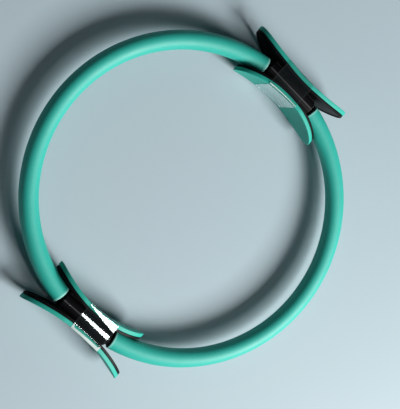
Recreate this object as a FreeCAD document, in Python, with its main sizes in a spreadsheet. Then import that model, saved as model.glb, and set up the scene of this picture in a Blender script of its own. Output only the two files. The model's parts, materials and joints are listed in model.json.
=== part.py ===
import FreeCAD, Part
import os
import re

# Pilates ring: two bowed half rings, each a sprung steel band in a foam sleeve, meet in two grip handles.
# Origin on the table under the middle of the ring, +Z up, handles at -X and +X, half rings at +Y and -Y.

SIZES = [
    ("arc_radius", 172, "centre line radius of each half ring"),
    ("arc_offset", 7, "each half ring's centre lies this far from the handle axis"),
    ("band_height", 10, "spring band, along Z"),
    ("band_thickness", 2.4, "spring band, radially"),
    ("eye_wall", 2, "metal round the pin in a band end"),
    ("pin_spacing", 50, "between the two pins of a handle"),
    ("pin_diameter", 4, "pin through a band eye"),
    ("pin_fit", 0.05, "radial running clearance of an eye on its pin"),
    ("pin_seat", 1.5, "depth of a pin end in the barrel wall"),
    ("sleeve_diameter", 21.5, "foam sleeve, outside"),
    ("sleeve_bore", 12, "foam sleeve, inside"),
    ("flex_gap", 0.3, "clearance of the ball and cup where a half ring bends"),
    ("flex_angle", 20, "largest bend there, degrees"),
    ("collar_diameter", 18, "black neck between handle and sleeve"),
    ("collar_length", 1, "black neck, along the ring"),
    ("neck_gap", 2.2, "between the barrel rim and the neck"),
    ("spigot_length", 13, "end plug inside the sleeve"),
    ("spigot_fit", 0.1, "radial clearance of end plug in sleeve"),
    ("slot_fit", 0.1, "clearance of the band in an end plug"),
    ("barrel_diameter", 20.8, "handle barrel, outside"),
    ("barrel_wall", 2.5, "handle barrel wall"),
    ("barrel_length", 68.6, "handle barrel, rim to rim"),
    ("rim_round", 1, "rounding of the barrel rims"),
    ("plate_thickness", 2.2, "wing plates behind the pads"),
    ("plate_proud", 0.9, "wing plate face beyond the barrel at the waist"),
    ("lip_depth", 3.1, "lip round the edge of a wing plate"),
    ("lip_width", 2, "lip round the edge of a wing plate"),
    ("web_setback", 2.3, "ends of the web between barrel and wing plate, behind the barrel rims"),
    ("web_height", 12, "web between barrel and wing plate, along Z"),
    ("pad_height", 50, "grip pads, along Z"),
    ("pad_thickness", 5, "grip pads"),
    ("pad_overhang", 0.3, "pad edge beyond its plate"),
    ("glue_line", 0.1, "between pad and plate"),
    ("oval_bulge", 1.5, "height of the oval cut off by each flat"),
    ("outer_pad_length", 142, "pad on the outside of the ring"),
    ("inner_pad_length", 124, "pad on the inside of the ring"),
    ("outer_flare", 12, "outer pad ends beyond its waist"),
    ("inner_flare", 13.6, "inner pad ends beyond its waist"),
    ("boss_diameter", 8, "screw bosses inside the barrel"),
    ("screw_spacing", 20, "between the two screws of a handle"),
    ("screw_diameter", 3, "screw shank"),
    ("screw_grip", 6, "outer boss under the screw head"),
    ("screw_bite", 7, "screw shank in the inner boss"),
    ("screw_fit", 0.1, "radial clearance round screw shank and head"),
    ("head_diameter", 5.6, "screw head"),
    ("head_height", 2, "screw head"),
    ("film_width", 40, "clear band round a handle's waist, along Y"),
    ("film_shift", 7, "clear band off the middle of the handle"),
    ("film_thickness", 0.3, "clear band"),
    ("film_gap", 0.1, "between clear band and pads"),
    ("film_hem", 6, "clear band's lower edges above the table"),
]

doc = FreeCAD.newDocument("pilates_ring")
sheet = doc.addObject("Spreadsheet::Sheet", "Sizes")
for row, (alias, value, meaning) in enumerate(SIZES, start=1):
    sheet.set(f"A{row}", meaning)
    sheet.set(f"B{row}", str(value))
    sheet.setAlias(f"B{row}", alias)
doc.recompute()

ALIASES = {alias for alias, value, meaning in SIZES}
X_AXIS = FreeCAD.Vector(1, 0, 0)
Y_AXIS = FreeCAD.Vector(0, 1, 0)
Z_AXIS = FreeCAD.Vector(0, 0, 1)
FULL = 360
HALF = FULL / 2

# Places that several pieces share, worked out from the sizes
MID_Z = "(pad_height / 2)"
PIN_Y = "(pin_spacing / 2)"
HANDLE_X = f"sqrt(arc_radius ^ 2 - ({PIN_Y} - arc_offset) ^ 2)"
BARREL_R = "(barrel_diameter / 2)"
BORE_R = f"({BARREL_R} - barrel_wall)"
WAIST = f"({BARREL_R} + plate_proud)"
WEB_Y = "(barrel_length / 2 - web_setback)"
COLLAR_Y = "(barrel_length / 2 + neck_gap)"
SLEEVE_Y = f"({COLLAR_Y} + collar_length)"
FLEX_Y = "(arc_offset + arc_radius)"
SLEEVE_R = "(sleeve_diameter / 2)"
EYE_BORE_R = "(pin_diameter / 2 + pin_fit)"
PIN_REACH = f"({BORE_R} + pin_seat)"
PIN_ANGLE = f"asin(({PIN_Y} - arc_offset) / arc_radius)"
COLLAR_ANGLE = f"asin(({COLLAR_Y} - arc_offset) / arc_radius)"
SLEEVE_ANGLE = f"asin(({SLEEVE_Y} - arc_offset) / arc_radius)"
SPIGOT_ANGLE = "(spigot_length / arc_radius * 1 rad)"
CUP_ANGLE = f"asin({SLEEVE_R} * sin(flex_angle) / arc_radius)"


def named(text):
    # An expression in the sheet's own words, with the sheet's name before each of them
    return re.sub(r"[a-z_]+", lambda word: f"Sizes.{word[0]}" if word[0] in ALIASES else word[0], text)


def size(alias):
    return float(sheet.get(alias))


def bind(thing, **sizes):
    for key, text in sizes.items():
        thing.setExpression(key.replace("__", "."), named(text))
    return thing


def place(thing, x="0", y="0", z="0", axis=Z_AXIS, angle="0"):
    thing.Placement = FreeCAD.Placement(FreeCAD.Vector(), FreeCAD.Rotation(axis, 1))
    return bind(thing, Placement__Base__x=x, Placement__Base__y=y, Placement__Base__z=z,
                Placement__Rotation__Angle=angle)


def cylinder(name, radius, height, sweep=str(FULL), **where):
    thing = doc.addObject("Part::Cylinder", name)
    bind(thing, Radius=radius, Height=height, Angle=sweep)
    return place(thing, **where)


def box(name, length, width, height, **where):
    thing = doc.addObject("Part::Box", name)
    bind(thing, Length=length, Width=width, Height=height)
    return place(thing, **where)


def torus(name, radius, tube, start, sweep, centre_y):
    # A length of round bar bent about a vertical axis, from the angle start on
    thing = doc.addObject("Part::Torus", name)
    bind(thing, Radius1=radius, Radius2=tube, Angle3=sweep)
    return place(thing, y=centre_y, z=MID_Z, angle=start)


def join(name, *things):
    thing = doc.addObject("Part::MultiFuse", name)
    thing.Shapes = list(things)
    thing.Refine = True
    return thing


def cut(name, base, *tools):
    tool = tools[0]
    if len(tools) > 1:
        tool = doc.addObject("Part::Compound", f"{name}_tools")
        tool.Links = list(tools)
    thing = doc.addObject("Part::Cut", name)
    thing.Base = base
    thing.Tool = tool
    return thing


def overlap(name, one, other):
    thing = doc.addObject("Part::Common", name)
    thing.Base = one
    thing.Tool = other
    return thing


def group(name, *things):
    thing = doc.addObject("Part::Compound", name)
    thing.Links = list(things)
    return thing


def rounded(name, base, radius):
    # Rounds the full circles among the edges of base
    doc.recompute()
    thing = doc.addObject("Part::Fillet", name)
    thing.Base = base
    rims = [number for number, edge in enumerate(base.Shape.Edges, start=1) if len(edge.Vertexes) == 1]
    thing.Edges = [(number, radius, radius) for number in rims]
    return thing


finished = []


def finish(thing, label, turn=0):
    # Names a finished piece, and turns it about the ring's axis to where it belongs
    thing.Placement = FreeCAD.Placement(FreeCAD.Vector(), FreeCAD.Rotation(Z_AXIS, turn))
    thing.Label = label
    finished.append(thing)


def wing(side):
    # Side 1 is the outer wing of the +X handle, side -1 its inner wing
    wing_name = "outer" if side > 0 else "inner"
    half = f"({wing_name}_pad_length / 2)"
    flare = f"{wing_name}_flare"
    face = f"({half} ^ 2 / (2 * {flare}) + {flare} / 2)"
    centre = f"{HANDLE_X} + ({side}) * ({WAIST} + {face})"
    reach = f"({WAIST} + {flare} + pad_thickness + plate_thickness)"
    return half, face, centre, reach


def oval_slab(name, side, near, far, margin):
    # An oval cut from a wall bowed about a vertical axis, between two depths from the plate's face
    half, face, centre, reach = wing(side)
    height = f"pad_height - 2 * {margin}"
    wall = cut(f"{name}_wall",
               cylinder(f"{name}_back", f"{face} + {far}", height, x=centre, z=margin),
               cylinder(f"{name}_front", f"{face} + {near}", height, x=centre, z=margin))
    outline = doc.addObject("Part::Ellipse", f"{name}_outline")
    bind(outline, MajorRadius=f"{half} - {margin}", MinorRadius=f"{MID_Z} + oval_bulge - {margin}")
    upright = FreeCAD.Rotation(X_AXIS + Y_AXIS + Z_AXIS, FULL / 3)
    outline.Placement = FreeCAD.Placement(FreeCAD.Vector(), upright)
    bind(outline, Placement__Base__x=HANDLE_X, Placement__Base__z=MID_Z)
    prism = doc.addObject("Part::Extrusion", f"{name}_prism")
    prism.Base = outline
    prism.DirMode = "Custom"
    prism.Dir = X_AXIS * side
    prism.Solid = True
    bind(prism, LengthFwd=reach)
    return overlap(name, wall, prism)


def shell(side, label, turn):
    # One half of a handle's black body: half the barrel with the wing plate that carries a pad
    half, face, centre, reach = wing(side)
    plate = cut(f"{label}_plate",
                oval_slab(f"{label}_plate_block", side, "0", "lip_depth", "pad_overhang"),
                oval_slab(f"{label}_plate_hollow", side, "plate_thickness", "2 * lip_depth",
                          "(pad_overhang + lip_width)"))
    solid_barrel = cylinder(f"{label}_barrel", BARREL_R, "barrel_length", x=HANDLE_X, y="-barrel_length / 2",
                            z=MID_Z, axis=X_AXIS, angle="-90 deg")
    solid_barrel = rounded(f"{label}_barrel_round", solid_barrel, size("rim_round"))
    keep = box(f"{label}_keep", BARREL_R, "barrel_length", "barrel_diameter",
               x=HANDLE_X if side > 0 else f"{HANDLE_X} - {BARREL_R}",
               y="-barrel_length / 2", z=f"{MID_Z} - {BARREL_R}")
    half_barrel = overlap(f"{label}_half_barrel", solid_barrel, keep)
    web_block = box(f"{label}_web_block", reach, f"2 * {WEB_Y}", "web_height",
                    x=HANDLE_X if side > 0 else f"{HANDLE_X} - {reach}",
                    y=f"-{WEB_Y}", z=f"{MID_Z} - web_height / 2")
    beyond = cylinder(f"{label}_beyond", f"{face} + plate_thickness / 2", "pad_height", x=centre)
    web = cut(f"{label}_web", web_block, beyond)
    bore = cylinder(f"{label}_bore", BORE_R, "barrel_length", x=HANDLE_X, y="-barrel_length / 2",
                    z=MID_Z, axis=X_AXIS, angle="-90 deg")
    hollow = cut(f"{label}_hollow", join(f"{label}_body", half_barrel, plate, web), bore)
    along = {"axis": Y_AXIS, "angle": f"{side} * 90 deg", "z": MID_Z}
    bosses = []
    holes = []
    for hand in (-1, 1):
        screw_y = f"{hand} * screw_spacing / 2"
        bosses.append(cylinder(f"{label}_boss", "boss_diameter / 2", f"{BORE_R} + barrel_wall / 2",
                               x=HANDLE_X, y=screw_y, **along))
        shank_depth = "screw_grip" if side > 0 else "screw_bite + screw_fit"
        holes.append(cylinder(f"{label}_shank_hole", "screw_diameter / 2 + screw_fit", shank_depth,
                              x=HANDLE_X, y=screw_y, **along))
        if side > 0:
            holes.append(cylinder(f"{label}_head_hole", "head_diameter / 2 + screw_fit", reach,
                                  x=f"{HANDLE_X} + screw_grip", y=screw_y, **along))
        holes.append(cylinder(f"{label}_pin_socket", EYE_BORE_R, f"2 * {PIN_REACH}", x=HANDLE_X,
                              y=f"{hand} * {PIN_Y}", z=f"{MID_Z} - {PIN_REACH}"))
    finish(cut(f"{label}_shell", join(f"{label}_bossed", hollow, *bosses), *holes), label, turn)


def pad(side, label, turn):
    # A foam grip pad, glued to a wing plate
    slab = oval_slab(f"{label}_slab", side, "-(pad_thickness + glue_line)", "-glue_line", "0")
    finish(slab, label, turn)


def screws(label, turn):
    pieces = []
    for hand in (-1, 1):
        along = {"axis": Y_AXIS, "angle": "-90 deg", "y": f"{hand} * screw_spacing / 2", "z": MID_Z}
        shank = cylinder(f"{label}_shank", "screw_diameter / 2", "screw_grip + screw_bite",
                         x=f"{HANDLE_X} + screw_grip", **along)
        head = cylinder(f"{label}_head", "head_diameter / 2", "head_height",
                        x=f"{HANDLE_X} + screw_grip + head_height", **along)
        pieces.append(join(f"{label}_screw", shank, head))
    finish(group(f"{label}_group", *pieces), label, turn)


def pins(label, turn):
    # The two pins of a handle, held between its shells
    length = f"2 * ({PIN_REACH} - pin_fit)"
    pieces = [cylinder(f"{label}_pin", "pin_diameter / 2", length, x=HANDLE_X, y=f"{hand} * {PIN_Y}",
                       z=f"{MID_Z} - {length} / 2") for hand in (-1, 1)]
    finish(group(f"{label}_group", *pieces), label, turn)


def film_block(name, grow, hem, width):
    # The waist of a handle with its pads, grown on all sides, from a height upwards
    inner_half, inner_face, inner_centre, inner_reach = wing(-1)
    outer_half, outer_face, outer_centre, outer_reach = wing(1)
    block = box(f"{name}_box", f"{inner_reach} + {outer_reach}", width, f"pad_height + {grow} - {hem}",
                x=f"{HANDLE_X} - {inner_reach}", y=f"film_shift - {width} / 2", z=hem)
    fronts = [cylinder(f"{name}_front", f"{face} - pad_thickness - glue_line - {grow}", "2 * pad_height", x=centre)
              for face, centre in ((inner_face, inner_centre), (outer_face, outer_centre))]
    return cut(name, block, *fronts)


def film(label, turn):
    # A clear band over both grip faces and across the top of a handle
    outside = film_block(f"{label}_outside", "(film_gap + film_thickness)", "film_hem", "film_width")
    inside = film_block(f"{label}_inside", "film_gap", "0", "(film_width + 2 * film_gap)")
    finish(cut(f"{label}_band", outside, inside), label, turn)


def sleeve(side, label, turn):
    # Foam over half of a half ring: side 1 ends in a cup at the bend, side -1 in a ball
    bore = torus(f"{label}_bore", "arc_radius", "sleeve_bore / 2", "0 deg", "180 deg", "arc_offset")
    if side > 0:
        tube = torus(f"{label}_tube", "arc_radius", SLEEVE_R, SLEEVE_ANGLE,
                     f"90 deg - {SLEEVE_ANGLE} - {CUP_ANGLE}", "arc_offset")
        ball = doc.addObject("Part::Sphere", f"{label}_ball")
        place(bind(ball, Radius=f"{SLEEVE_R} + flex_gap"), y=FLEX_Y, z=MID_Z)
        finish(cut(f"{label}_sleeve", tube, ball, bore), label, turn)
    else:
        tube = torus(f"{label}_tube", "arc_radius", SLEEVE_R, "90 deg", f"90 deg - {SLEEVE_ANGLE}", "arc_offset")
        dome = doc.addObject("Part::Sphere", f"{label}_dome")
        place(bind(dome, Radius=SLEEVE_R, Angle3="180 deg"), y=FLEX_Y, z=MID_Z, angle="-90 deg")
        finish(cut(f"{label}_sleeve", join(f"{label}_whole", tube, dome), bore), label, turn)


def band_ring(name, margin, start, sweep):
    # A flat strip on edge, bent to the half ring's centre line
    height = f"band_height + 2 * {margin}"
    ring = {"y": "arc_offset", "z": f"{MID_Z} - ({height}) / 2", "angle": start, "sweep": sweep}
    return cut(name,
               cylinder(f"{name}_out", f"arc_radius + band_thickness / 2 + {margin}", height, **ring),
               cylinder(f"{name}_in", f"arc_radius - band_thickness / 2 - {margin}", height, **ring))


def end_plug(side, label, turn):
    # A black neck with a spigot in the sleeve, slotted for the band
    collar_sweep = f"{SLEEVE_ANGLE} - {COLLAR_ANGLE}"
    spigot_sweep = f"{collar_sweep} + {SPIGOT_ANGLE}"
    collar_start = COLLAR_ANGLE if side > 0 else f"180 deg - {SLEEVE_ANGLE}"
    spigot_start = COLLAR_ANGLE if side > 0 else f"180 deg - {SLEEVE_ANGLE} - {SPIGOT_ANGLE}"
    collar = torus(f"{label}_collar", "arc_radius", "collar_diameter / 2", collar_start, collar_sweep, "arc_offset")
    spigot = torus(f"{label}_spigot", "arc_radius", "sleeve_bore / 2 - spigot_fit", spigot_start, spigot_sweep,
                   "arc_offset")
    slot = band_ring(f"{label}_slot", "slot_fit", "0 deg", "180 deg")
    finish(cut(f"{label}_plug", join(f"{label}_whole", collar, spigot), slot), label, turn)


def spring_band(label, turn):
    # The steel of a half ring, with an eye at each end
    strip = band_ring(f"{label}_strip", "0", PIN_ANGLE, f"180 deg - 2 * {PIN_ANGLE}")
    eyes = []
    holes = []
    for hand in (-1, 1):
        at = {"x": f"{hand} * {HANDLE_X}", "y": PIN_Y, "z": f"{MID_Z} - band_height / 2"}
        eyes.append(cylinder(f"{label}_eye", f"{EYE_BORE_R} + eye_wall", "band_height", **at))
        holes.append(cylinder(f"{label}_hole", EYE_BORE_R, "band_height", **at))
    finish(cut(f"{label}_band", join(f"{label}_whole", strip, *eyes), *holes), label, turn)


# The ring has half-turn symmetry about Z: what is built at +X and +Y is built again, half a turn round
for handle, turn in (("right", 0), ("left", HALF)):
    shell(1, f"{handle}_outer_shell", turn)
    shell(-1, f"{handle}_inner_shell", turn)
    pad(1, f"{handle}_outer_pad", turn)
    pad(-1, f"{handle}_inner_pad", turn)
    screws(f"{handle}_shell_screws", turn)
    pins(f"{handle}_band_pins", turn)
    film(f"{handle}_clear_band", turn)

for half_ring, near, far, turn in (("rear", "right", "left", 0), ("front", "left", "right", HALF)):
    sleeve(1, f"{half_ring}_{near}_sleeve", turn)
    sleeve(-1, f"{half_ring}_{far}_sleeve", turn)
    end_plug(1, f"{half_ring}_{near}_end_plug", turn)
    end_plug(-1, f"{half_ring}_{far}_end_plug", turn)
    spring_band(f"{half_ring}_spring_band", turn)

doc.recompute()
for thing in doc.Objects:
    if "Invalid" in thing.State or "Error" in thing.State:
        raise RuntimeError(f"{thing.Label} could not be built: {thing.State}")
for thing in finished:
    if thing.Shape.isNull() or not thing.Shape.isValid():
        raise RuntimeError(f"{thing.Label} has no valid shape")

os.makedirs("parts", exist_ok=True)
for thing in finished:
    thing.Shape.exportStep(f"parts/{thing.Label}.step")
    print(thing.Label, len(thing.Shape.Solids), "solid(s),", round(thing.Shape.Volume), "mm3")
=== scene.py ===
import bmesh
import bpy
import json
import math
from mathutils import Matrix, Vector, noise


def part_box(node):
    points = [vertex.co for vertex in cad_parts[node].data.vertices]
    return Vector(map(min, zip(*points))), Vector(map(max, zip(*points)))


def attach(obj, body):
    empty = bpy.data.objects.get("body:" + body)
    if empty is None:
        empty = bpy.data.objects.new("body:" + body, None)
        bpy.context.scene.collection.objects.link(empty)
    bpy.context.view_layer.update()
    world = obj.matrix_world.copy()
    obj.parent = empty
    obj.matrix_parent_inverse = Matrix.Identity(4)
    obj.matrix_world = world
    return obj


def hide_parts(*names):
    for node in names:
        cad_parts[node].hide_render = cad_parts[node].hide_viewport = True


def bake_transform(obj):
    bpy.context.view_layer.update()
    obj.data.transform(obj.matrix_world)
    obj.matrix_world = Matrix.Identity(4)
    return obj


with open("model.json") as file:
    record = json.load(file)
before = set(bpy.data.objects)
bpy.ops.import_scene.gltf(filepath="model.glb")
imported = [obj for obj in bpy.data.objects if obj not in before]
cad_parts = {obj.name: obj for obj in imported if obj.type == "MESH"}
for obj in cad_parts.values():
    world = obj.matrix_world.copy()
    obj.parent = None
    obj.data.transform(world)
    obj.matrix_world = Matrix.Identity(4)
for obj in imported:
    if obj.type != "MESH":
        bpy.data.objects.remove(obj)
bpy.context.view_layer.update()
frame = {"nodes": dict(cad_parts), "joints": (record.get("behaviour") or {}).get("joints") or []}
scene = bpy.context.scene
scene.view_settings.view_transform = "Standard"

# Places shared by all pieces, read from the joints: handles at -X and +X, half rings at +Y and -Y
pivots = {joint["name"]: Vector(joint["pos_m"]) for joint in frame["joints"]}
handleX, pinY, midZ = pivots["rear_right_pivot"]
flexY = pivots["rear_flex"].y
arcOffset = (flexY ** 2 - handleX ** 2 - pinY ** 2) / (2 * (flexY - pinY))  # centre of the rear half ring
arcRadius = flexY - arcOffset
halfTurn = Matrix.Rotation(math.pi, 4, "Z")  # right handle to left, rear half ring to front
mm = 0.001  # the frame counts in metres
weldReach = 1e-7  # points of a mesh this close are one point
noiseMean = 0.5  # a noise texture swings about this


def addObject(name, data):
    thing = bpy.data.objects.new(name, data)
    scene.collection.objects.link(thing)
    return thing


def meshFrom(name, points, faces, edges=()):
    mesh = bpy.data.meshes.new(name)
    mesh.from_pydata(points, list(edges), faces)
    return mesh


def ringFaces(rings, count):
    # quads from each closed ring of points to the next
    faces = []
    for ring in range(rings - 1):
        for step in range(count):
            following = (step + 1) % count
            faces.append((ring * count + step, ring * count + following,
                          (ring + 1) * count + following, (ring + 1) * count + step))
    return faces


def closeMesh(mesh):
    # welds seams and poles, and turns every face outwards
    work = bmesh.new()
    work.from_mesh(mesh)
    bmesh.ops.remove_doubles(work, verts=work.verts, dist=weldReach)
    bmesh.ops.dissolve_degenerate(work, edges=work.edges, dist=weldReach)
    bmesh.ops.recalc_face_normals(work, faces=work.faces)
    work.to_mesh(mesh)
    work.free()
    return mesh


def settle(thing):
    # what the modifiers give becomes the piece's own mesh
    bpy.context.view_layer.update()
    graph = bpy.context.evaluated_depsgraph_get()
    mesh = bpy.data.meshes.new_from_object(thing.evaluated_get(graph))
    thing.modifiers.clear()
    thing.data = mesh
    mesh.name = thing.name


def smoothByAngle(mesh, degrees):
    # edges that turn by more than this stay sharp
    mesh.shade_smooth()
    mesh.set_sharp_from_angle(angle=math.radians(degrees))


def feed(tree, socket, value):
    if isinstance(value, bpy.types.NodeSocket):
        tree.links.new(value, socket)
    else:
        socket.default_value = value


def addNode(tree, kind, settings=None, **inputs):
    node = tree.nodes.new(kind)
    for key, value in (settings or {}).items():
        setattr(node, key, value)
    for key, value in inputs.items():
        feed(tree, node.inputs[key.replace("_", " ")], value)
    return node


def calc(tree, operation, *values):
    node = addNode(tree, "ShaderNodeMath", {"operation": operation})
    for socket, value in zip(node.inputs, values):
        feed(tree, socket, value)
    return node.outputs[0]


def ramp(tree, value, start, end):
    # 0 up to start, 1 from end on, straight between them
    return addNode(tree, "ShaderNodeMapRange", Value=value, From_Min=start, From_Max=end).outputs[0]


def noiseValue(tree, place, scale, detail, roughness=0.5):
    return addNode(tree, "ShaderNodeTexNoise", Vector=place, Scale=scale, Detail=detail,
                   Roughness=roughness).outputs[0]


def objectPlace(tree):
    return addNode(tree, "ShaderNodeTexCoord").outputs["Object"]


def mixColour(tree, share, one, other):
    mixed = addNode(tree, "ShaderNodeMix", {"data_type": "RGBA"})
    feed(tree, mixed.inputs[0], share)
    feed(tree, mixed.inputs[6], one)  # sockets 6 and 7 take the two colours, 2 gives the mix
    feed(tree, mixed.inputs[7], other)
    return mixed.outputs[2]


# Shader groups that several finishes share

def newGroup(name, inputs, outputs):
    tree = bpy.data.node_groups.new(name, "ShaderNodeTree")
    for label, kind, start in inputs:
        socket = tree.interface.new_socket(label, in_out="INPUT", socket_type=kind)
        socket.default_value = start
    for label, kind in outputs:
        tree.interface.new_socket(label, in_out="OUTPUT", socket_type=kind)
    return tree, tree.nodes.new("NodeGroupInput").outputs, tree.nodes.new("NodeGroupOutput").inputs


cloudLook = {"detail": 4.0, "roughness": 0.6}


def makeCloudyTint(look):
    # slow drifts of a dyed or moulded colour
    tree, given, result = newGroup(
        "cloudyTint",
        [("Colour", "NodeSocketColor", (1, 1, 1, 1)), ("Drift", "NodeSocketColor", (1, 1, 1, 1)),
         ("Patch size", "NodeSocketFloat", 0.02), ("Amount", "NodeSocketFloat", 0.5)],
        [("Colour", "NodeSocketColor")])
    density = calc(tree, "DIVIDE", 1.0, given["Patch size"])
    patches = noiseValue(tree, objectPlace(tree), density, look["detail"], look["roughness"])
    share = calc(tree, "MULTIPLY", patches, given["Amount"])
    feed(tree, result["Colour"], mixColour(tree, share, given["Colour"], given["Drift"]))
    return tree


cellLook = {
    "bumpDensity": 0.12, "bumpDetail": 3.0,  # densities are shares of the cells' own
    "poreDensity": 0.5, "poreDetail": 2.0, "poreEdge": (0.62, 0.7),
}


def makeFoamCells(look):
    # closed cells under a thin skin, with a few open pores
    tree, given, result = newGroup(
        "foamCells",
        [("Cell size", "NodeSocketFloat", 0.0006), ("Waviness", "NodeSocketFloat", 0.5)],
        [("Height", "NodeSocketFloat"), ("Pores", "NodeSocketFloat")])
    place = objectPlace(tree)
    density = calc(tree, "DIVIDE", 1.0, given["Cell size"])
    cells = addNode(tree, "ShaderNodeTexVoronoi", {"feature": "F1"}, Vector=place, Scale=density)
    bumpDensity = calc(tree, "MULTIPLY", density, look["bumpDensity"])
    bumps = noiseValue(tree, place, bumpDensity, look["bumpDetail"])
    waves = calc(tree, "MULTIPLY", bumps, given["Waviness"])
    feed(tree, result["Height"], calc(tree, "ADD", cells.outputs["Distance"], waves))
    poreDensity = calc(tree, "MULTIPLY", density, look["poreDensity"])
    opened = noiseValue(tree, place, poreDensity, look["poreDetail"])
    feed(tree, result["Pores"], ramp(tree, opened, *look["poreEdge"]))
    return tree


markLook = {
    "smudgeDetail": 5.0, "smudgeRoughness": 0.65, "hairDetail": 1.0, "hairEdge": (0.68, 0.76),
    "hairs": [  # two sets of fine lines: how each is turned, and its lines per metre along each axis
        {"turn": (0.3, 0.2, 0.5), "density": (1500, 60, 60)},
        {"turn": (0.3, 0.2, -0.9), "density": (70, 1300, 90)},
    ],
}


def makeHandlingMarks(look):
    # smudges and hairline scratches, as a roughness and as a mask
    tree, given, result = newGroup(
        "handlingMarks",
        [("Polish", "NodeSocketFloat", 0.3), ("Smudging", "NodeSocketFloat", 0.1),
         ("Scratching", "NodeSocketFloat", 0.1), ("Patch size", "NodeSocketFloat", 0.015)],
        [("Roughness", "NodeSocketFloat"), ("Scratches", "NodeSocketFloat")])
    place = objectPlace(tree)
    density = calc(tree, "DIVIDE", 1.0, given["Patch size"])
    smudges = noiseValue(tree, place, density, look["smudgeDetail"], look["smudgeRoughness"])
    lines = []
    for hairs in look["hairs"]:
        turned = addNode(tree, "ShaderNodeMapping", Vector=place, Rotation=hairs["turn"],
                         Scale=hairs["density"])
        hair = noiseValue(tree, turned.outputs[0], 1.0, look["hairDetail"])
        lines.append(ramp(tree, hair, *look["hairEdge"]))
    scratches = calc(tree, "MULTIPLY", calc(tree, "MAXIMUM", *lines), given["Scratching"])
    dull = calc(tree, "MULTIPLY", calc(tree, "SUBTRACT", smudges, noiseMean), given["Smudging"])
    rough = calc(tree, "ADD", calc(tree, "ADD", given["Polish"], dull), scratches)
    feed(tree, result["Roughness"], rough)
    feed(tree, result["Scratches"], scratches)
    return tree


cloudyTint = makeCloudyTint(cloudLook)
foamCells = makeFoamCells(cellLook)
handlingMarks = makeHandlingMarks(markLook)


# Finishes: patches, cells, grains and depths are lengths

def newFinish(name):
    finish = bpy.data.materials.new(name)
    finish.use_nodes = True
    tree = finish.node_tree
    return finish, tree, tree.nodes["Principled BSDF"]


def useGroup(tree, group, **inputs):
    return addNode(tree, "ShaderNodeGroup", {"node_tree": group}, **inputs).outputs


def cloudyColour(tree, look, colour, fade):
    return useGroup(tree, cloudyTint, Colour=colour, Drift=fade, Patch_size=look["patch"],
                    Amount=look["drift"])["Colour"]


def marksOn(tree, look, polish):
    return useGroup(tree, handlingMarks, Polish=polish, Smudging=look["smudging"],
                    Scratching=look["scratching"], Patch_size=look["markPatch"])


def bumpFrom(tree, shader, height, distance, strength):
    bump = addNode(tree, "ShaderNodeBump", Height=height, Distance=distance, Strength=strength)
    feed(tree, shader.inputs["Normal"], bump.outputs[0])


def readAttribute(tree, name):
    return addNode(tree, "ShaderNodeAttribute", {"attribute_name": name}).outputs["Fac"]


sleeveFoamLook = {
    "teal": (0.02, 0.5, 0.41, 1), "tealFade": (0.013, 0.4, 0.325, 1), "patch": 30 * mm, "drift": 0.55,
    # the pore colour is painted shade inside open pores
    "poreShade": (0.008, 0.2, 0.16, 1), "poreShadeShare": 0.35, "cell": 0.55 * mm, "waviness": 1.2,
    "depth": 0.08 * mm, "bump": 0.5, "polish": 0.57, "gloss": 0.75,
    "smudging": 0.16, "scratching": 0.08, "markPatch": 20 * mm,
    # the cut-end colour below is the cut foam's paler tone with a painted highlight of its lit rim
    "mask": "cutEnd", "paleAndHighlight": (0.4, 0.88, 0.8, 1), "paleAndHighlightShare": 1.0, "paleDulling": 0.25,
}
padFoamLook = {
    "teal": (0.017, 0.44, 0.345, 1), "tealFade": (0.011, 0.36, 0.28, 1), "patch": 18 * mm, "drift": 0.5,
    # the pore colour is painted shade inside open pores
    "poreShade": (0.008, 0.2, 0.16, 1), "poreShadeShare": 0.3, "cell": 0.45 * mm, "waviness": 0.8,
    "depth": 0.07 * mm, "bump": 0.5, "polish": 0.55, "gloss": 0.4,
    "smudging": 0.14, "scratching": 0.1, "markPatch": 12 * mm,
    # the rim colour below is a painted highlight along the pads' edges
    "mask": "rim", "paleAndHighlight": (0.05, 0.55, 0.45, 1), "paleAndHighlightShare": 0.6, "paleDulling": 0.0,
}


# dyed foam with pores painted darker as shade, paler at cut ends (the cut foam's paler tone plus a painted
# highlight) and at pad rims (a painted highlight), as its mask says
def makeFoam(name, look):
    # dyed foam with pores, paler where its mask says that it is cut or rubbed
    finish, tree, shader = newFinish(name)
    cells = useGroup(tree, foamCells, Cell_size=look["cell"], Waviness=look["waviness"])
    tint = cloudyColour(tree, look, look["teal"], look["tealFade"])
    # darker where pores open: painted shade inside the pores
    pores = calc(tree, "MULTIPLY", cells["Pores"], look["poreShadeShare"])
    poreShaded = mixColour(tree, pores, tint, look["poreShade"])
    # paler where the mask says: a painted highlight on cut ends and pad rims, with the cut foam's own
    # paler tone at cut ends
    mask = readAttribute(tree, look["mask"])
    paled = mixColour(tree, calc(tree, "MULTIPLY", mask, look["paleAndHighlightShare"]), poreShaded, look["paleAndHighlight"])
    feed(tree, shader.inputs["Base Color"], paled)
    marks = marksOn(tree, look, look["polish"])
    rough = calc(tree, "ADD", marks["Roughness"], calc(tree, "MULTIPLY", mask, look["paleDulling"]))
    feed(tree, shader.inputs["Roughness"], rough)
    shader.inputs["Specular IOR Level"].default_value = look["gloss"]
    bumpFrom(tree, shader, cells["Height"], look["depth"], look["bump"])
    return finish


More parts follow.
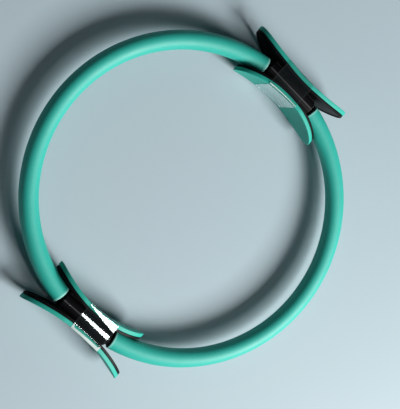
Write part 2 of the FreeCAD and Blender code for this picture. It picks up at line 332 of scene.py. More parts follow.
plasticLook = {
    "black": (0.004, 0.004, 0.005, 1), "blackFade": (0.008, 0.008, 0.009, 1), "gloss": 0.09,
    "patch": 20 * mm, "drift": 0.6, "smudging": 0.12, "scratching": 0.25, "markPatch": 10 * mm,
    "scuff": (0.06, 0.06, 0.06, 1), "scuffShare": 0.5,
    "grain": 0.4 * mm, "waviness": 0.4, "bump": 0.4,
    # the parting line's grey is a painted highlight of its edge
    "partingHighlight": (0.1, 0.1, 0.102, 1), "partingHighlightWidth": (0.4 * mm, 0.8 * mm),
    "shell": {"polish": 0.44, "grainDepth": 0.01 * mm, "partingHighlighted": True},
    "neck": {"polish": 0.5, "grainDepth": 0.05 * mm, "partingHighlighted": False},
}


def partingHighlightMask(tree, look):
    # painted highlight along a barrel's parting line, where its two shells meet
    x = addNode(tree, "ShaderNodeSeparateXYZ", Vector=objectPlace(tree)).outputs["X"]
    aside = calc(tree, "ABSOLUTE", calc(tree, "SUBTRACT", calc(tree, "ABSOLUTE", x), handleX))
    full, faded = look["partingHighlightWidth"]
    return ramp(tree, aside, faded, full)


def makeBlackPlastic(name, look, skin):
    finish, tree, shader = newFinish(name)
    tint = cloudyColour(tree, look, look["black"], look["blackFade"])
    marks = marksOn(tree, look, skin["polish"])
    scuffs = calc(tree, "MULTIPLY", marks["Scratches"], look["scuffShare"])
    colour = mixColour(tree, scuffs, tint, look["scuff"])
    if skin["partingHighlighted"]:
        # paints a grey highlight along the parting line
        colour = mixColour(tree, partingHighlightMask(tree, look), colour, look["partingHighlight"])
    feed(tree, shader.inputs["Base Color"], colour)
    feed(tree, shader.inputs["Roughness"], marks["Roughness"])
    shader.inputs["Specular IOR Level"].default_value = look["gloss"]
    grain = useGroup(tree, foamCells, Cell_size=look["grain"], Waviness=look["waviness"])["Height"]
    bumpFrom(tree, shader, grain, skin["grainDepth"], look["bump"])
    return finish


steelLook = {
    "patch": 8 * mm, "drift": 0.8, "smudging": 0.15, "scratching": 0.2, "markPatch": 6 * mm,
    "scratchDepth": 0.02 * mm, "bump": 0.3,
    "blued": {"colour": (0.05, 0.055, 0.075, 1), "fade": (0.09, 0.085, 0.09, 1), "polish": 0.35},
    "ground": {"colour": (0.5, 0.5, 0.51, 1), "fade": (0.4, 0.4, 0.42, 1), "polish": 0.25},
    "zinc": {"colour": (0.56, 0.57, 0.6, 1), "fade": (0.5, 0.48, 0.42, 1), "polish": 0.3},
}


def makeSteel(name, look, skin):
    finish, tree, shader = newFinish(name)
    feed(tree, shader.inputs["Base Color"], cloudyColour(tree, look, skin["colour"], skin["fade"]))
    marks = marksOn(tree, look, skin["polish"])
    feed(tree, shader.inputs["Roughness"], marks["Roughness"])
    shader.inputs["Metallic"].default_value = 1.0
    bumpFrom(tree, shader, marks["Scratches"], look["scratchDepth"], look["bump"])
    return finish


filmLook = {
    "clear": (0.98, 0.99, 0.99, 1), "white": (0.86, 1.0, 0.98, 1), "polish": 0.08,
    "head": 0.08, "edge": 1.3, "steepness": 3.2,  # mirror head on, more at the edge, how late it grows
    "smudging": 0.04, "scratching": 0.03, "markPatch": 10 * mm, "foldDulling": 4.0,
}


def makeClearFilm(look):
    # see-through, with a mirror that grows towards grazing angles, milky where the film is folded, and a
    # painted highlight along its cut edges
    finish, tree, shader = newFinish("clearFilm")
    marks = marksOn(tree, look, look["polish"])
    fold = readAttribute(tree, "fold")
    dull = addNode(tree, "ShaderNodeMath", {"operation": "MULTIPLY", "use_clamp": True})
    feed(tree, dull.inputs[0], fold)
    feed(tree, dull.inputs[1], look["foldDulling"])
    shader.inputs["Base Color"].default_value = look["white"]
    feed(tree, shader.inputs["Metallic"], calc(tree, "SUBTRACT", 1.0, dull.outputs[0]))
    feed(tree, shader.inputs["Roughness"], marks["Roughness"])
    clear = addNode(tree, "ShaderNodeBsdfTransparent", Color=look["clear"])
    slant = addNode(tree, "ShaderNodeLayerWeight").outputs["Facing"]
    grazing = calc(tree, "MULTIPLY", calc(tree, "POWER", slant, look["steepness"]), look["edge"])
    share = calc(tree, "ADD", calc(tree, "ADD", grazing, look["head"]), fold)
    mixed = addNode(tree, "ShaderNodeMixShader")
    for socket, value in zip(mixed.inputs, (share, clear.outputs[0], shader.outputs[0])):
        feed(tree, socket, value)
    feed(tree, tree.nodes["Material Output"].inputs["Surface"], mixed.outputs[0])
    return finish


sleeveFoam = makeFoam("sleeveFoam", sleeveFoamLook)
padFoam = makeFoam("padFoam", padFoamLook)
shellBlack = makeBlackPlastic("shellBlack", plasticLook, plasticLook["shell"])
neckBlack = makeBlackPlastic("neckBlack", plasticLook, plasticLook["neck"])
bluedSteel = makeSteel("bluedSteel", steelLook, steelLook["blued"])
groundSteel = makeSteel("groundSteel", steelLook, steelLook["ground"])
zincSteel = makeSteel("zincSteel", steelLook, steelLook["zinc"])
clearFilm = makeClearFilm(filmLook)
print("finishes made:", len(bpy.data.materials))


# Foam sleeves: a straight tube of foam, bent round each half ring

def newTree(name, inputs):
    tree = bpy.data.node_groups.new(name, "GeometryNodeTree")
    tree.is_modifier = True
    tree.interface.new_socket("Geometry", in_out="INPUT", socket_type="NodeSocketGeometry")
    for label, kind in inputs:
        tree.interface.new_socket(label, in_out="INPUT", socket_type=kind)
    tree.interface.new_socket("Geometry", in_out="OUTPUT", socket_type="NodeSocketGeometry")
    return tree, tree.nodes.new("NodeGroupInput").outputs, tree.nodes.new("NodeGroupOutput").inputs


def endTree(tree, geometry, material, result):
    real = addNode(tree, "GeometryNodeRealizeInstances", Geometry=geometry)
    dressed = addNode(tree, "GeometryNodeSetMaterial", Geometry=real.outputs[0], Material=material)
    feed(tree, result["Geometry"], dressed.outputs[0])


def runTree(thing, tree, values):
    modifier = thing.modifiers.new(tree.name, "NODES")
    modifier.node_group = tree
    for item in tree.interface.items_tree:
        if item.in_out == "INPUT" and item.name in values:
            modifier[item.identifier] = values[item.name]
    settle(thing)


def makeBentTubeTree():
    # turns a wall section of points (along, out from the middle, mask of the pale cut end and its painted
    # highlight) round a bent centre line
    tree, given, result = newTree("bentTube", [
        ("Ring radius", "NodeSocketFloat"), ("Ring offset", "NodeSocketFloat"),
        ("Mid height", "NodeSocketFloat"), ("Around", "NodeSocketInt"), ("Weld reach", "NodeSocketFloat"),
        ("Unevenness", "NodeSocketFloat"), ("Patch size", "NodeSocketFloat"),
        ("Patch detail", "NodeSocketFloat"), ("Seed", "NodeSocketInt"), ("Skin", "NodeSocketMaterial")])
    wall = given["Geometry"]
    count = addNode(tree, "GeometryNodeAttributeDomainSize", Geometry=wall).outputs["Point Count"]
    rows = calc(tree, "ADD", given["Around"], 1.0)
    columns = calc(tree, "ADD", count, 1.0)
    grid = addNode(tree, "GeometryNodeMeshGrid", Vertices_X=columns, Vertices_Y=rows)
    index = addNode(tree, "GeometryNodeInputIndex").outputs[0]
    halfOn = calc(tree, "ADD", index, 0.5)  # half a point on, so that rounding can't change the column
    column = calc(tree, "FLOOR", calc(tree, "DIVIDE", halfOn, rows))
    row = calc(tree, "SUBTRACT", index, calc(tree, "MULTIPLY", column, rows))
    sample = addNode(tree, "GeometryNodeSampleIndex", {"data_type": "FLOAT_VECTOR", "domain": "POINT"},
                     Geometry=wall, Index=calc(tree, "MODULO", column, count),
                     Value=addNode(tree, "GeometryNodeInputPosition").outputs[0])
    section = addNode(tree, "ShaderNodeSeparateXYZ", Vector=sample.outputs[0]).outputs
    roll = calc(tree, "DIVIDE", calc(tree, "MULTIPLY", row, 2 * math.pi), given["Around"])
    bend = calc(tree, "ADD", calc(tree, "DIVIDE", section["X"], given["Ring radius"]), math.pi / 2)
    aside = calc(tree, "MULTIPLY", section["Y"], calc(tree, "COSINE", roll))
    rise = calc(tree, "MULTIPLY", section["Y"], calc(tree, "SINE", roll))
    reach = calc(tree, "ADD", given["Ring radius"], aside)
    across = calc(tree, "MULTIPLY", reach, calc(tree, "COSINE", bend))
    forward = calc(tree, "MULTIPLY", reach, calc(tree, "SINE", bend))
    spot = addNode(tree, "ShaderNodeCombineXYZ", X=across,
                   Y=calc(tree, "ADD", forward, given["Ring offset"]),
                   Z=calc(tree, "ADD", rise, given["Mid height"]))
    marked = addNode(tree, "GeometryNodeStoreNamedAttribute", {"data_type": "FLOAT", "domain": "POINT"},
                     Geometry=grid.outputs["Mesh"], Name="cutEnd", Value=section["Z"])
    bent = addNode(tree, "GeometryNodeSetPosition", Geometry=marked.outputs[0], Position=spot.outputs[0])
    welded = addNode(tree, "GeometryNodeMergeByDistance", Geometry=bent.outputs[0],
                     Distance=given["Weld reach"])
    swell = addNode(tree, "ShaderNodeTexNoise", {"noise_dimensions": "4D"}, W=given["Seed"],
                    Scale=calc(tree, "DIVIDE", 1.0, given["Patch size"]),
                    Detail=given["Patch detail"]).outputs[0]
    lift = calc(tree, "MULTIPLY", calc(tree, "SUBTRACT", swell, noiseMean), given["Unevenness"])
    push = addNode(tree, "ShaderNodeVectorMath", {"operation": "SCALE"}, Scale=lift,
                   Vector=addNode(tree, "GeometryNodeInputNormal").outputs[0])
    uneven = addNode(tree, "GeometryNodeSetPosition", Geometry=welded.outputs[0], Offset=push.outputs[0])
    smooth = addNode(tree, "GeometryNodeSetShadeSmooth", Geometry=uneven.outputs[0])
    endTree(tree, smooth.outputs[0], given["Skin"], result)
    return tree


sleeveLook = {
    "bore": 6.0 * mm, "skinStep": 2.2 * mm, "boreStep": 6.0 * mm, "endRound": 1.0 * mm, "roundSteps": 4,
    # the value for the skin's edge paints part of the cut end's highlight onto the skin next to it
    "faceShares": (0.35, 0.7), "around": 72, "weld": 0.001 * mm, "endHighlight": 0.6,
    "unevenness": 0.25 * mm, "patch": 22 * mm, "patchDetail": 2.0,
    "bendFrom": 155 * mm,  # from the middle of the half ring
}
sleeveLow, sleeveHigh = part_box("rear_right_sleeve")
sleeveRadius = (sleeveHigh.z - sleeveLow.z) / 2
sleeveEnd = math.asin((sleeveLow.y - arcOffset) / (arcRadius - sleeveRadius))  # angle of the cut end
sleeveLength = arcRadius * (math.pi - 2 * sleeveEnd)


def sleeveSection(look):
    # the wall cut lengthwise: skin, rounded cut end, bore and the other end
    half, rounding, bore = sleeveLength / 2, look["endRound"], look["bore"]
    skinLength, corner = sleeveLength - 2 * rounding, sleeveRadius - rounding
    skinCount = round(skinLength / look["skinStep"])
    boreCount = round(sleeveLength / look["boreStep"])
    points = []
    # the third value is the mask for the pale cut end: the cut foam's paler tone plus a painted highlight
    # on its rim, reaching onto the skin's last columns
    for step in range(skinCount + 1):
        endLit = look["endHighlight"] if step in (0, skinCount) else 0
        points.append((-half + rounding + skinLength * step / skinCount, sleeveRadius, endLit))
    for step in range(1, look["roundSteps"] + 1):
        turn = math.pi / 2 * step / look["roundSteps"]
        along, out = math.sin(turn), math.cos(turn)
        points.append((half - rounding + rounding * along, corner + rounding * out, math.sqrt(along)))
    for share in look["faceShares"]:
        points.append((half, corner + (bore - corner) * share, 1))
    for step in range(boreCount + 1):
        points.append((half - sleeveLength * step / boreCount, bore, 1))
    for share in reversed(look["faceShares"]):
        points.append((-half, corner + (bore - corner) * share, 1))
    for step in range(look["roundSteps"]):
        turn = math.pi / 2 * step / look["roundSteps"]
        along, out = math.cos(turn), math.sin(turn)
        points.append((-half + rounding - rounding * along, corner + rounding * out, math.sqrt(along)))
    return points


bentTube = makeBentTubeTree()
halfRings = {
    "rear": {"near": "right", "far": "left", "turn": Matrix(),
             "from": "rear_left_arc", "to": "rear_right_arc"},
    "front": {"near": "left", "far": "right", "turn": halfTurn,
              "from": "front_right_arc", "to": "front_left_arc"},
}


def bendWith(thing):
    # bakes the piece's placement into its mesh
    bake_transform(thing)


for seed, (ringName, ring) in enumerate(halfRings.items()):
    sleeve = addObject(f"{ringName}_foam_sleeve", meshFrom("sleeveWall", sleeveSection(sleeveLook), []))
    runTree(sleeve, bentTube, {
        "Ring radius": arcRadius, "Ring offset": arcOffset, "Mid height": midZ,
        "Around": sleeveLook["around"], "Weld reach": sleeveLook["weld"],
        "Unevenness": sleeveLook["unevenness"], "Patch size": sleeveLook["patch"],
        "Patch detail": sleeveLook["patchDetail"], "Seed": seed, "Skin": sleeveFoam})
    sleeve.data.transform(ring["turn"])
    closeMesh(sleeve.data)
    bendWith(sleeve)
    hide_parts(f"{ringName}_{ring['near']}_sleeve", f"{ringName}_{ring['far']}_sleeve")
print("foam sleeves bent")


# Spring bands: a steel strip along each half ring, rolled into an eye round the pin at both ends

def makeStripTree():
    tree, given, result = newTree("springStrip", [
        ("Thickness", "NodeSocketFloat"), ("Height", "NodeSocketFloat"), ("Edge round", "NodeSocketFloat"),
        ("Edge steps", "NodeSocketInt"), ("Metal", "NodeSocketMaterial")])
    line = addNode(tree, "GeometryNodeMeshToCurve", Mesh=given["Geometry"])
    upright = addNode(tree, "GeometryNodeSetCurveNormal", {"mode": "Z_UP"}, Curve=line.outputs[0])
    strip = addNode(tree, "GeometryNodeCurvePrimitiveQuadrilateral", Width=given["Thickness"],
                    Height=given["Height"])
    eased = addNode(tree, "GeometryNodeFilletCurve", {"mode": "POLY"}, Curve=strip.outputs[0],
                    Count=given["Edge steps"], Radius=given["Edge round"])
    swept = addNode(tree, "GeometryNodeCurveToMesh", Curve=upright.outputs[0],
                    Profile_Curve=eased.outputs[0], Fill_Caps=True)
    endTree(tree, swept.outputs[0], given["Metal"], result)
    return tree


bandLook = {
    "thickness": 2.4 * mm, "height": 10 * mm, "edge": 0.5 * mm, "edgeSteps": 3, "eyeBore": 2.05 * mm,
    "roll": 290,  # degrees that the strip goes round the pin
    "sideStep": 6 * mm, "arcSteps": 120, "easeSteps": 10, "rollSteps": 28, "sharpFrom": 40,
}


def bandLine(look):
    # along the half ring, then aside by the eye's radius and round the pin
    eye = look["eyeBore"] + look["thickness"] / 2
    pinAngle = math.asin((pinY - arcOffset) / arcRadius)
    free = pinAngle + look["sideStep"] / arcRadius
    line = []
    for step in range(look["arcSteps"] + 1):
        turn = free + (math.pi - 2 * free) * step / look["arcSteps"]
        line.append(Vector((arcRadius * math.cos(turn), arcOffset + arcRadius * math.sin(turn), midZ)))
    for end in (1, -1):
        tail = []
        for step in range(1, look["easeSteps"] + 1):
            share = step / look["easeSteps"]
            turn = free + (pinAngle - free) * share
            out = arcRadius + eye * (1 - math.cos(math.pi * share)) / 2
            tail.append(Vector((end * out * math.cos(turn), arcOffset + out * math.sin(turn), midZ)))
        pin = Vector((end * handleX, pinY, midZ))
        for step in range(1, look["rollSteps"] + 1):
            turn = pinAngle - math.radians(look["roll"]) * step / look["rollSteps"]
            tail.append(pin + Vector((end * eye * math.cos(turn), eye * math.sin(turn), 0)))
        line = list(reversed(tail)) + line if end > 0 else line + tail
    return line


springStrip = makeStripTree()
for ringName, ring in halfRings.items():
    path = bandLine(bandLook)
    links = [(step, step + 1) for step in range(len(path) - 1)]
    band = addObject(f"{ringName}_steel_band", meshFrom("bandLine", path, [], links))
    runTree(band, springStrip, {
        "Thickness": bandLook["thickness"], "Height": bandLook["height"], "Edge round": bandLook["edge"],
        "Edge steps": bandLook["edgeSteps"], "Metal": bluedSteel})
    band.data.transform(ring["turn"])
    closeMesh(band.data)
    smoothByAngle(band.data, bandLook["sharpFrom"])
    bendWith(band)
    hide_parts(f"{ringName}_spring_band")
print("spring bands rolled")


# Wings: bowed ovals with flats at head and foot, used for the foam pads and the plates behind them

padLow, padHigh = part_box("right_outer_pad")
innerPadLow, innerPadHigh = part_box("right_inner_pad")
padHeight = padHigh.z - padLow.z
wingLook = {
    "padThickness": 5 * mm, "glueLine": 0.1 * mm, "plateThickness": 2.2 * mm, "plateMargin": 0.3 * mm,
    "lipDepth": 3.1 * mm, "lipWidth": 2 * mm,
    "ovalBulge": 1.5 * mm, "around": 168, "faceRings": 9, "edgeSteps": 4,
    "padEdge": 0.9 * mm, "padBackEdge": 0.5 * mm, "padCrown": 0.35 * mm, "plateEdge": 0.6 * mm,
    # how the painted highlight on a pad's edge fades over the face and the side
    "rimHighlightPower": 6, "rimHighlightSide": 0.3,  # painted highlight at the rim, and less on the side
    "sharpFrom": 45,
}
waist = padLow.x - wingLook["glueLine"] - handleX  # pad side of a plate from the barrel's axis
wings = {  # flare is how far the ends of a wing stand out past its waist
    "outer": {"side": 1, "halfLength": (padHigh.y - padLow.y) / 2, "flare": 12.0 * mm},
    "inner": {"side": -1, "halfLength": (innerPadHigh.y - innerPadLow.y) / 2, "flare": 13.6 * mm},
}
for wing in wings.values():
    wing["bow"] = wing["halfLength"] ** 2 / (2 * wing["flare"]) + wing["flare"] / 2  # radius of its plate
    wing["centre"] = handleX + wing["side"] * (waist + wing["bow"])


def onWing(wing, y, depth):
    # X of a place on a wing: depth counts from the plate's pad side towards the barrel
    return wing["centre"] - wing["side"] * math.sqrt((wing["bow"] + depth) ** 2 - y ** 2)


def ovalSlab(name, wing, near, far, margin, edge, backEdge, crown, lip=None):
    # rings of (inset, depth, painted rim highlight) from the face's middle line over the rim to the back's
    # middle line
    look = wingLook
    halfLength = wing["halfLength"] - margin
    halfHeight = padHeight / 2 - margin
    rings = []
    for step in range(look["faceRings"] + 1):
        share = step / look["faceRings"]
        rings.append((halfHeight + (edge - halfHeight) * share, near + crown * share ** 2,
                      share ** look["rimHighlightPower"]))
    for step in range(1, look["edgeSteps"] + 1):
        turn = math.pi / 2 * step / look["edgeSteps"]
        rings.append((edge * (1 - math.sin(turn)), near + crown + edge * (1 - math.cos(turn)),
                      1 - (1 - look["rimHighlightSide"]) * math.sin(turn)))
    for step in range(look["edgeSteps"] + 1):
        turn = math.pi / 2 * step / look["edgeSteps"]
        rings.append((backEdge * (1 - math.cos(turn)), far - backEdge * (1 - math.sin(turn)),
                      look["rimHighlightSide"]))
    lipWidth, floor = lip or (backEdge, far)
    if lip:
        rings += [(lipWidth, far, 0), (lipWidth, floor, 0)]
    for step in range(1, look["faceRings"] + 1):
        share = step / look["faceRings"]
        rings.append((lipWidth + (halfHeight - lipWidth) * share, floor, 0))
    points = []
    rims = []
    for inset, depth, rimHighlight in rings:
        limit = halfHeight - inset
        for step in range(look["around"]):
            turn = 2 * math.pi * step / look["around"]
            y = (halfLength - inset) * math.cos(turn)
            z = (limit + look["ovalBulge"]) * math.sin(turn)
            points.append((onWing(wing, y, depth), y, midZ + max(-limit, min(limit, z))))
            rims.append(rimHighlight)
    mesh = meshFrom(name, points, ringFaces(len(rings), look["around"]))
    # the rim attribute carries the painted highlight along the pads' edges
    mesh.attributes.new("rim", "FLOAT", "POINT").data.foreach_set("value", rims)
    return closeMesh(mesh)


def padMesh(wing, look):
    back = -look["glueLine"]
    front = back - look["padThickness"]
    return ovalSlab("pad", wing, front, back, 0, look["padEdge"], look["padBackEdge"], look["padCrown"])


handles = {"right": Matrix(), "left": halfTurn}
for hand, turn in handles.items():
    for wingName, wing in wings.items():
        mesh = padMesh(wing, wingLook)
        mesh.transform(turn)
        smoothByAngle(mesh, wingLook["sharpFrom"])
        mesh.materials.append(padFoam)
        pad = addObject(f"{hand}_{wingName}_foam_pad", mesh)
        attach(pad, f"{hand}_handle")
        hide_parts(f"{hand}_{wingName}_pad")
print("grip pads shaped")


# Handle shells: half a barrel, a wing plate and the web between them, with bosses and pin sockets inside

shellLook = {
    "barrelRadius": 10.4 * mm, "boreRadius": 7.9 * mm, "barrelLength": 68.6 * mm, "rimRound": 1.0 * mm,
    "partingBevel": 0.35 * mm, "partingGap": 0.03 * mm, "arcSteps": 36, "rimSteps": 4,
    "webLength": 64 * mm, "webHeight": 12 * mm, "webSteps": 14,
    "bossRadius": 4 * mm, "screwSpacing": 20 * mm, "shankRadius": 1.6 * mm, "headRadius": 2.9 * mm,
    "grip": 6 * mm, "bite": 7.1 * mm, "headDepth": 9 * mm,
    "overrun": 1 * mm,  # how far a screw hole is cut past the parting line
    "socketRadius": 2.05 * mm, "socketReach": 9.4 * mm, "turnSteps": 28, "sharpFrom": 35,
}
wallMiddle = (shellLook["barrelRadius"] + shellLook["boreRadius"]) / 2


def besideAxis(side, across, y):
    # a place level with the barrel's axis
    return Vector((handleX + side * across, y, midZ))


def halfBarrel(side, look):
    # rings of a half tube's outline, with eased rims and a bevelled parting line
    half, rounding, bevel = look["barrelLength"] / 2, look["rimRound"], look["partingBevel"]
    stations = []
    for step in range(look["rimSteps"] + 1):
        turn = math.pi / 2 * step / look["rimSteps"]
        stations.append((half - rounding * (1 - math.sin(turn)),
                         look["barrelRadius"] - rounding * (1 - math.cos(turn))))
    stations = [(-y, radius) for y, radius in reversed(stations)] + stations
    points = []
    for y, radius in stations:
        easing = bevel / radius
        outline = [(look["partingGap"], -(radius - bevel))]
        for step in range(look["arcSteps"] + 1):
            turn = -math.pi / 2 + easing + (math.pi - 2 * easing) * step / look["arcSteps"]
            outline.append((radius * math.cos(turn), radius * math.sin(turn)))
        outline.append((look["partingGap"], radius - bevel))
        inner = []
        for step in range(len(outline)):
            turn = -math.pi / 2 + math.pi * step / (len(outline) - 1)
            inner.append((max(look["partingGap"], look["boreRadius"] * math.cos(turn)),
                          look["boreRadius"] * math.sin(turn)))
        for across, up in outline + list(reversed(inner)):
            points.append((handleX + side * across, y, midZ + up))
    count = len(points) // len(stations)
    faces = ringFaces(len(stations), count)
    for first in (0, (len(stations) - 1) * count):
        last = first + count - 1
        for step in range(count // 2 - 1):
            faces.append((first + step, first + step + 1, last - step - 1, last - step))
    return closeMesh(meshFrom("halfBarrel", points, faces))


def webBlock(wing, look):
    # fills between barrel and plate at the waist
    low, high = midZ - look["webHeight"] / 2, midZ + look["webHeight"] / 2
    inner = handleX + wing["side"] * wallMiddle
    points = []
    for step in range(look["webSteps"] + 1):
        y = look["webLength"] * (step / look["webSteps"] - 0.5)
        outer = onWing(wing, y, wingLook["plateThickness"] / 2)
        points += [(inner, y, low), (outer, y, low), (outer, y, high), (inner, y, high)]
    last = len(points) - 1
    faces = [(0, 1, 2, 3), (last, last - 1, last - 2, last - 3)]
    return closeMesh(meshFrom("webBlock", points, faces + ringFaces(look["webSteps"] + 1, 4)))


def rod(name, start, end, radius, steps):
    work = bmesh.new()
    along = end - start
    turned = along.to_track_quat("Z", "Y").to_matrix().to_4x4()
    bmesh.ops.create_cone(work, cap_ends=True, segments=steps, radius1=radius, radius2=radius,
                          depth=along.length, matrix=Matrix.Translation((start + end) / 2) @ turned)
    mesh = bpy.data.meshes.new(name)
    work.to_mesh(mesh)
    work.free()
    return mesh


def combine(base, parts, operation):
    tools = [addObject("tool", mesh) for mesh in parts]
    for tool in tools:
        modifier = base.modifiers.new("combine", "BOOLEAN")
        modifier.operation = operation
        modifier.solver = "EXACT"
        modifier.object = tool
    settle(base)
    for tool in tools:
        bpy.data.objects.remove(tool)


def shellPiece(name, wing, look):
    side, steps = wing["side"], look["turnSteps"]
    plate = ovalSlab(name, wing, 0, wingLook["lipDepth"], wingLook["plateMargin"], wingLook["plateEdge"],
                     wingLook["plateEdge"], 0, (wingLook["lipWidth"], wingLook["plateThickness"]))
    shell = addObject(name, plate)
    solids = [halfBarrel(side, look), webBlock(wing, look)]
    holes = []
    for end in (-1, 1):
        screwY = end * look["screwSpacing"] / 2
        parting = besideAxis(side, look["partingGap"], screwY)
        wall = besideAxis(side, wallMiddle, screwY)
        solids.append(rod("boss", parting, wall, look["bossRadius"], steps))
        before = besideAxis(side, look["partingGap"] - look["overrun"], screwY)
        depth = look["grip"] + look["overrun"] / 2 if side > 0 else look["bite"]
        foot = besideAxis(side, depth, screwY)
        holes.append(rod("shankHole", before, foot, look["shankRadius"], steps))
        if side > 0:  # the screw's head sinks into the outer shell
            seat = besideAxis(side, look["grip"], screwY)
            top = besideAxis(side, look["grip"] + look["headDepth"], screwY)
            holes.append(rod("headHole", seat, top, look["headRadius"], steps))
        socket = besideAxis(side, 0, end * pinY)
        rise = Vector((0, 0, look["socketReach"]))
        holes.append(rod("pinSocket", socket - rise, socket + rise, look["socketRadius"], steps))
    combine(shell, solids, "UNION")
    combine(shell, holes, "DIFFERENCE")
    return shell


for hand, turn in handles.items():
    for wingName, wing in wings.items():
        shell = shellPiece(f"{hand}_{wingName}_moulding", wing, shellLook)
        shell.data.transform(turn)
        smoothByAngle(shell.data, shellLook["sharpFrom"])
        shell.data.materials.clear()
        shell.data.materials.append(shellBlack)
        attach(shell, f"{hand}_handle")
        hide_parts(f"{hand}_{wingName}_shell")
print("handle shells joined")


# Clear bands: a taut film over both grip faces and across the top of a handle

bandFilm = {
    "width": 40 * mm, "shift": 7 * mm, "thickness": 0.25 * mm, "gap": 0.12 * mm, "hem": 6 * mm,
    "corner": 1.1 * mm, "bridge": 0.55, "ledge": 9.6 * mm, "leastSlope": 1 * mm, "ramp": 0.4 * mm,
    "lift": 0.45 * mm, "sag": 0.8 * mm, "touch": 0.03 * mm,
    "trough": (3 * mm, 6 * mm), "troughShift": 1.5 * mm,
    "crease": 0.02 * mm, "creaseSize": 16 * mm, "creaseStretch": 0.6,
    "faceSteps": 26, "cornerSteps": 6, "runSteps": 10, "columnStep": 1.8 * mm, "sharpFrom": 50,
    # the value for the cut ends is a painted highlight along the film's cut edges
    "endColumns": (0, 0.5 * mm, 1.1 * mm), "cutEdgeHighlight": 0.07, "endFold": 1.2 * mm,
    "milk": 0.01, "milkPatch": 0.4, "milkSize": 14 * mm,
    "folded": {"left": "outer", "right": "inner"}, "fold": {"left": 0.62, "right": 0.6},
    "foldWidth": {"left": (1 * mm, 2.6 * mm), "right": (1 * mm, 1.2 * mm)},
}


def between(ends, share):
    start, end = ends
    return start + (end - start) * share


def addBreak(runs, place):
    # one more break in a chain of straight runs, at the height that the chain has there
    for spot, ((start, low), (end, high)) in enumerate(zip(runs, runs[1:])):
        if start < place < end:
            height = low + (high - low) * (place - start) / (end - start)
            return runs[:spot + 1] + [(place, height)] + runs[spot + 1:]
    return runs


def filmColumns(look):
    # places across the film's width, closer together at its two cut ends
    ends = list(look["endColumns"])
    free = look["width"] - 2 * ends[-1]
    count = round(free / look["columnStep"])
    middle = [ends[-1] + free * step / count for step in range(1, count)]
    return ends + middle + [look["width"] - end for end in reversed(ends)]


def filmTop(look, length, share):
    # the film's breaks: a ledge that widens along it, a trough over the barrel, a slope on the outer pad
    pad = wingLook["padThickness"]
    ledge = look["corner"] + look["ledge"] * share
    middle = length / 2 - look["troughShift"] * (1 - share)
    trough = between(look["trough"], share)
    dip = max(middle - trough / 2, ledge + look["leastSlope"])
    foot = (pad, look["touch"])
    if ledge >= pad - look["corner"]:
        foot = ((ledge + dip) / 2, (look["lift"] - look["sag"]) / 2)
    return [(look["ramp"], look["lift"]), (ledge, look["lift"]), foot, (dip, -look["sag"]),
            (middle + trough / 2, -look["sag"]), (length - pad, look["lift"]), (length, look["touch"])]


def filmSection(look, inner, outer, share, hand):
    # up the inner pad, over the handle and down the outer pad: places, and how milky each one is
    top, corner = midZ + padHeight / 2 + look["gap"], look["corner"]
    rise = top - corner - look["hem"]
    length = outer - inner - 2 * corner
    fold = look["fold"][hand]
    onInner = look["folded"][hand] == "inner"
    foldWidth = between(look["foldWidth"][hand], share)
    if not onInner and min(share, 1 - share) * look["width"] < look["endFold"]:
        foldWidth = wingLook["padThickness"] - look["ramp"]
    foldEnd = foldWidth if onInner else length - foldWidth
    section = []
    for step in range(look["faceSteps"] + 1):
        section.append((inner, look["hem"] + rise * step / look["faceSteps"], look["milk"]))
    for step in range(1, look["cornerSteps"] + 1):
        bend = math.pi / 2 * step / look["cornerSteps"]
        section.append((inner + corner * (1 - math.cos(bend)), top - corner * (1 - math.sin(bend)), 0))
    runs = addBreak(filmTop(look, length, share), foldEnd)
    for (start, low), (end, high) in zip(runs, runs[1:]):
        for step in range(look["runSteps"]):
            along = step / look["runSteps"]
            place = between((start, end), along)
            milky = fold if (place < foldEnd) == onInner else 0
            section.append((inner + corner + place, top + between((low, high), along), milky))
    for step in range(look["cornerSteps"] + 1):
        bend = math.pi / 2 * (1 - step / look["cornerSteps"])
        section.append((outer - corner * (1 - math.cos(bend)), top - corner * (1 - math.sin(bend)),
                        0 if onInner else fold))
    for step in range(1, look["faceSteps"] + 1):
        section.append((outer, top - corner - rise * step / look["faceSteps"], look["milk"]))
    return section


def filmMesh(look, hand):
    low = look["shift"] - look["width"] / 2
    high = low + look["width"]
    depth = -(wingLook["padThickness"] + wingLook["glueLine"] + look["gap"])
    points, folds, faces = [], [], []
    columns = filmColumns(look)
    for column in columns:
        share, y = column / look["width"], low + column
        sides = {}
        for wingName, wing in wings.items():  # bridges the hollow of the bowed face
            straight = onWing(wing, low, depth) * (1 - share) + onWing(wing, high, depth) * share
            sides[wingName] = onWing(wing, y, depth) * (1 - look["bridge"]) + straight * look["bridge"]
        section = filmSection(look, sides["inner"], sides["outer"], share, hand)
        # the film's cut edges get a thin milky line: a painted highlight of the light they catch
        cutEnd = look["cutEdgeHighlight"] if column in (columns[0], columns[-1]) else 0
        for x, z, milky in section:
            wave = noise.noise(Vector((x, look["creaseStretch"] * y, z)) / look["creaseSize"])
            ripple = look["crease"] * (wave + 1) / 2
            aside = ripple if x > handleX + waist else -ripple if x < handleX - waist else 0
            points.append((x + aside, y, z + ripple))
            patch = 1 + look["milkPatch"] * noise.noise(Vector((x, y, z)) / look["milkSize"])
            folds.append(max(milky * patch, cutEnd))
    count = len(section)
    for strip in range(len(columns) - 1):
        for step in range(count - 1):
            start = strip * count + step
            faces.append((start, start + count, start + count + 1, start + 1))
    mesh = meshFrom("film", points, faces)
    mesh.attributes.new("fold", "FLOAT", "POINT").data.foreach_set("value", folds)
    return mesh


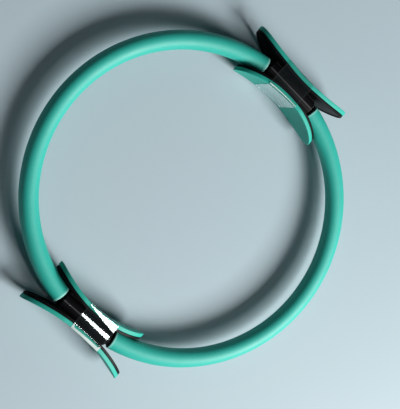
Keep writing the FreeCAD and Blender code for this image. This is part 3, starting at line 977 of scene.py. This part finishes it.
for hand, turn in handles.items():
    film = addObject(f"{hand}_film_band", filmMesh(bandFilm, hand))
    wall = film.modifiers.new("wall", "SOLIDIFY")
    wall.thickness = bandFilm["thickness"]
    wall.offset = 1.0  # grows inwards, towards the pads
    settle(film)
    film.data.transform(turn)
    closeMesh(film.data)
    smoothByAngle(film.data, bandFilm["sharpFrom"])
    film.data.materials.append(clearFilm)
    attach(film, f"{hand}_handle")
    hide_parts(f"{hand}_clear_band")
print("clear films wrapped")


# CAD nodes that show as they are

cadFinishes = {"end_plug": neckBlack, "band_pins": groundSteel, "shell_screws": zincSteel}
for nodeName, node in frame["nodes"].items():
    for ending, finish in cadFinishes.items():
        if nodeName.endswith(ending):
            node.data.materials.clear()
            node.data.materials.append(finish)
print("necks, pins and screws finished")


# Table, light and camera

tableLook = {
    "size": 6.0, "drop": 0.2 * mm, "colour": (0.455, 0.56, 0.612, 1), "fade": (0.415, 0.53, 0.587, 1),
    "patch": 0.4, "drift": 0.6, "roughness": 0.45, "gloss": 0.25,
}


def makeTable(look):
    finish, tree, shader = newFinish("paleTable")
    feed(tree, shader.inputs["Base Color"], cloudyColour(tree, look, look["colour"], look["fade"]))
    shader.inputs["Roughness"].default_value = look["roughness"]
    shader.inputs["Specular IOR Level"].default_value = look["gloss"]
    half = look["size"] / 2
    corners = [(x * half, y * half, -look["drop"]) for x, y in ((-1, -1), (1, -1), (1, 1), (-1, 1))]
    table = addObject("table", meshFrom("table", corners, [(0, 1, 2, 3)]))
    table.data.materials.append(finish)


makeTable(tableLook)

lampLook = {
    "key": {"from": (-0.26, -2.27, 1.75), "size": (1.15, 1.15), "power": 126.0, "colour": (1, 0.99, 0.97)},
    "high": {"from": (-0.185, -0.476, 1.584), "size": (0.12, 0.4), "power": 1.8, "colour": (1, 1, 1)},
}
worldLook = {"colour": (0.78, 0.9, 1.0, 1), "strength": 0.04}


def makeLamp(name, look):
    lamp = bpy.data.lights.new(name, "AREA")
    lamp.shape = "RECTANGLE"
    lamp.size, lamp.size_y = look["size"]
    lamp.energy = look["power"]
    lamp.color = look["colour"]
    thing = addObject(name, lamp)
    thing.location = look["from"]
    thing.rotation_euler = (Vector(look["from"]) - Vector((0, 0, midZ))).to_track_quat("Z", "Y").to_euler()


for lampName, look in lampLook.items():
    makeLamp(lampName, look)

world = bpy.data.worlds.new("softRoom")
world.use_nodes = True
background = world.node_tree.nodes["Background"]
background.inputs["Color"].default_value = worldLook["colour"]
background.inputs["Strength"].default_value = worldLook["strength"]
scene.world = world

cameraLook = {
    "tilt": 19.0, "heading": 115.3, "roll": 43.5, "distance": 1.2, "aim": (6.1 * mm, -12.6 * mm),
    "focalPixels": 1080, "longSide": 409, "sensor": 36.0,
}


def makeCamera(look):
    data = bpy.data.cameras.new("photoCamera")
    data.sensor_width = look["sensor"]
    data.lens = look["sensor"] * look["focalPixels"] / look["longSide"]
    tilt, heading, roll = (math.radians(look[key]) for key in ("tilt", "heading", "roll"))
    back = Vector((math.sin(tilt) * math.cos(heading), math.sin(tilt) * math.sin(heading), math.cos(tilt)))
    right = Vector((math.cos(roll), math.sin(roll), 0)).cross(back).normalized()
    up = back.cross(right)
    turned = Matrix((right, up, back)).transposed().to_4x4()
    aim = Vector((*look["aim"], midZ))
    camera = addObject("photoCamera", data)
    camera.matrix_world = Matrix.Translation(aim + back * look["distance"]) @ turned
    scene.camera = camera


makeCamera(cameraLook)
print("table, lamps and camera set")
